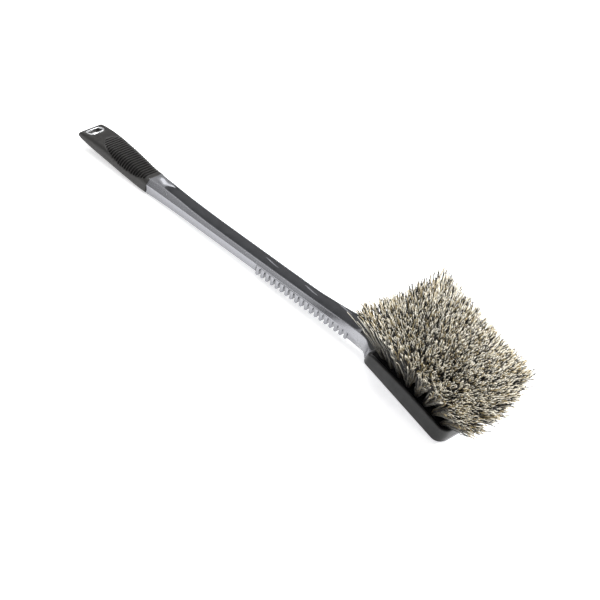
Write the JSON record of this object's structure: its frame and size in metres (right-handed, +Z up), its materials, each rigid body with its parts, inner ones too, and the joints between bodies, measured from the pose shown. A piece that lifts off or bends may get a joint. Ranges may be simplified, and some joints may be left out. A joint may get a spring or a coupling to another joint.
{
  "type": "wheel brush",
  "caption": "Long-handled wheel brush with a black ribbed grip, silver channelled shaft with a comb edge, and a flared mixed-bristle head in a rubber bumper.",
  "frame": {"origin": "middle of the bounding box at the surface the brush lies on, on its back", "axes": "+X from the butt along the handle to the head, +Y across, +Z up on the bristle side"},
  "size_m": [0.5388, 0.1182, 0.0876],
  "materials": {
    "silver_plastic": "satin silver moulding",
    "charcoal_plastic": "smooth semi-gloss",
    "grip_rubber": "fine matt moulded rubber",
    "eyelet_silver": "bright silver",
    "bumper_rubber": "smooth semi-matt rubber",
    "block_plastic": "gloss black",
    "screw_steel": "zinc plated",
    "anchor_wire": "flat wire",
    "bristle": "mixed cream, tan and black filament"
  },
  "bodies": {
    "root": {"handle_body": "silver_plastic", "channel_inlay": "charcoal_plastic", "grip_sleeve": "grip_rubber", "hang_eyelet": "eyelet_silver", "head_bumper": "bumper_rubber", "tuft_block": "block_plastic", "block_screws": "screw_steel", "tuft_row_1": "bristle", "anchor_row_1": "anchor_wire", "tuft_row_2": "bristle", "anchor_row_2": "anchor_wire", "tuft_row_3": "bristle", "anchor_row_3": "anchor_wire", "tuft_row_4": "bristle", "anchor_row_4": "anchor_wire", "tuft_row_5": "bristle", "anchor_row_5": "anchor_wire", "tuft_row_6": "bristle", "anchor_row_6": "anchor_wire", "tuft_row_7": "bristle", "anchor_row_7": "anchor_wire"}
  },
  "joints": []
}
